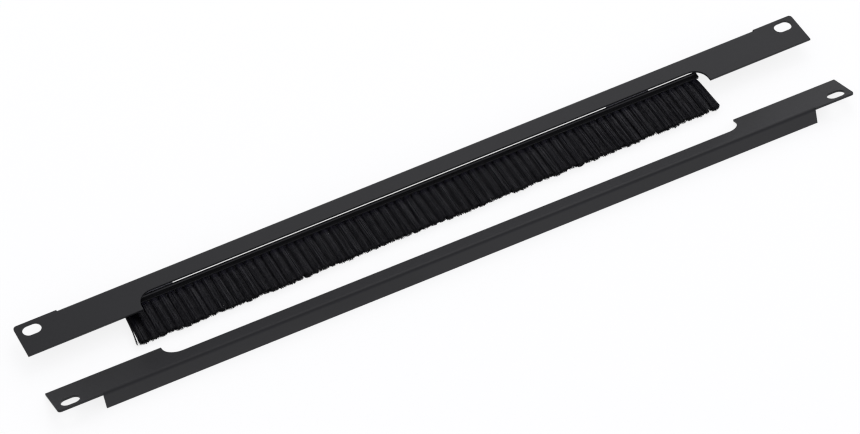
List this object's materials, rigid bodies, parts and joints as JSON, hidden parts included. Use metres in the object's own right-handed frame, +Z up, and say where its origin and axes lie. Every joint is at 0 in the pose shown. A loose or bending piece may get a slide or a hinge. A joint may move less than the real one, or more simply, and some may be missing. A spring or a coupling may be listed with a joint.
{
  "type": "rack brush strip panel",
  "caption": "Split black rack panel with a tufted brush strip behind its long cable notch: two folded steel halves with slotted ears, laid apart on a flat surface.",
  "frame": {"origin": "on the surface that the panel lies on, under the middle of the whole", "axes": "+X along the panel to the right, seen from the side of the lower half, +Y from the lower half to the upper half, +Z up, out of the upper half's front face"},
  "size_m": [0.4834, 0.0722, 0.0094],
  "materials": {
    "powder_coat": "matt black powder coat",
    "bar_plastic": "black satin plastic",
    "bristle": "black nylon filament",
    "anchor_wire": "plain flat wire",
    "bracket_steel": "matt black powder coat"
  },
  "bodies": {
    "root": {"upper_panel": "powder_coat", "lower_panel": "powder_coat", "brush_bar": "bar_plastic", "bristle_tufts": "bristle", "tuft_anchors": "anchor_wire", "left_bracket": "bracket_steel", "right_bracket": "bracket_steel"}
  },
  "joints": []
}
